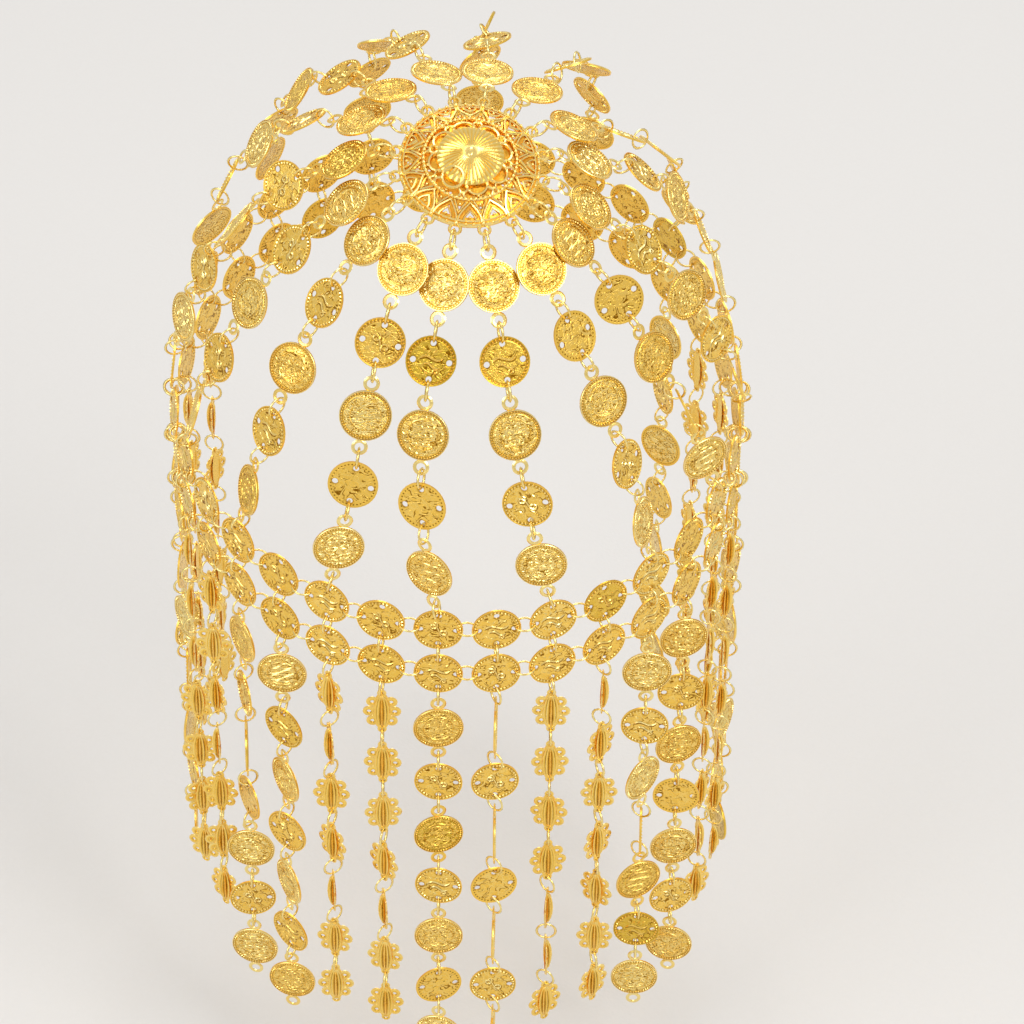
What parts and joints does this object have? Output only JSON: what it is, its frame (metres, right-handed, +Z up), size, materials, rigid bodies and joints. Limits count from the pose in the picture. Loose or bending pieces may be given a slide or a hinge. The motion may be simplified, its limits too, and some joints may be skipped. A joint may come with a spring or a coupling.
{
  "type": "tassel headpiece",
  "caption": "Net-like cap of stamped coins that hangs over the back of the head from a pierced medallion, with a double coin row and long hanging tassels.",
  "frame": {"origin": "the highest point of the head that the net lies on, where the cap rests", "axes": "+Z up, -Y toward the back of the head, +X to the wearer's right"},
  "size_m": [0.1789, 0.1736, 0.3125],
  "materials": {
    "gold_coin": "bright gold-coloured plating, stamped relief",
    "gold_bead": "bright gold-coloured plating, stamped ribs",
    "gold_wire": "bright gold-coloured plating, drawn wire",
    "gold_filigree": "bright gold-coloured plating, cast filigree"
  },
  "bodies": {
    "root": {"crown_medallion": "gold_filigree", "upper_row_left": "gold_coin", "upper_row_right": "gold_coin", "lower_row_left": "gold_coin", "lower_row_right": "gold_coin", "row_ties": "gold_wire", "crown_strand_01": "gold_coin", "crown_strand_02": "gold_coin", "crown_strand_03": "gold_coin", "crown_strand_04": "gold_coin", "crown_strand_05": "gold_coin", "crown_strand_06": "gold_coin", "crown_strand_07": "gold_coin", "crown_strand_08": "gold_coin", "crown_strand_09": "gold_coin", "crown_strand_10": "gold_coin", "crown_strand_11": "gold_coin", "crown_strand_12": "gold_coin", "crown_strand_13": "gold_coin", "crown_strand_14": "gold_coin", "crown_strand_15": "gold_coin", "crown_strand_16": "gold_coin", "bead_tassel_01": "gold_bead", "bead_tassel_02": "gold_bead", "coin_tassel_03": "gold_coin", "coin_tassel_04": "gold_coin", "bead_tassel_05": "gold_bead", "bead_tassel_06": "gold_bead", "coin_tassel_07": "gold_coin", "coin_tassel_08": "gold_coin", "bead_tassel_09": "gold_bead", "bead_tassel_10": "gold_bead", "coin_tassel_11": "gold_coin", "coin_tassel_12": "gold_coin", "bead_tassel_13": "gold_bead", "bead_tassel_14": "gold_bead", "coin_tassel_15": "gold_coin", "coin_tassel_16": "gold_coin", "bead_tassel_17": "gold_bead", "bead_tassel_18": "gold_bead", "coin_tassel_19": "gold_coin", "coin_tassel_20": "gold_coin", "bead_tassel_21": "gold_bead", "bead_tassel_22": "gold_bead", "coin_tassel_23": "gold_coin"}
  },
  "joints": []
}
